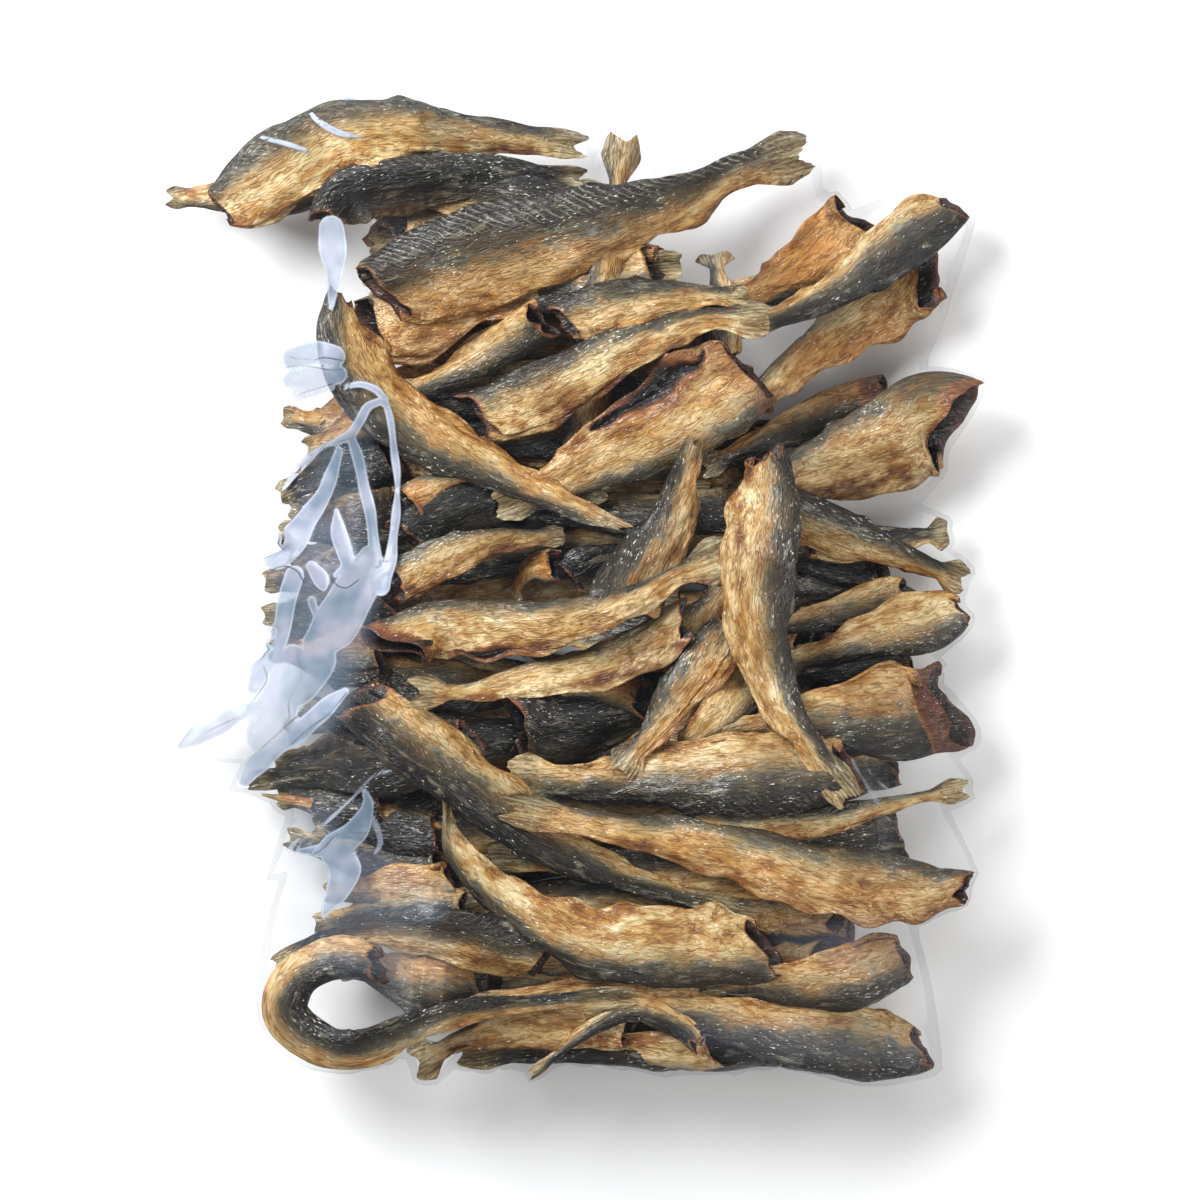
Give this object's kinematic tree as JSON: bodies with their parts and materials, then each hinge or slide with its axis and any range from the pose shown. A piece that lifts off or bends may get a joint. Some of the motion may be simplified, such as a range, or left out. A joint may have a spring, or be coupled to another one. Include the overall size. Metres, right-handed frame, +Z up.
{
  "type": "bag of dried fish",
  "caption": "Clear film bag packed with small dried fish, headless and gutted, lying flat with the shown side up.",
  "frame": {"origin": "middle of the bag's plan, on the surface it lies on", "axes": "+X to the right and +Y up the shown face, +Z up out of the shown face"},
  "size_m": [0.2674, 0.3188, 0.0589],
  "materials": {
    "fish_skin": "dry wrinkled skin, slate back and golden belly",
    "clear_film": "thin clear crinkled film, glossy"
  },
  "bodies": {
    "root": {"bag_of_fish": "fish_skin"}
  },
  "joints": []
}
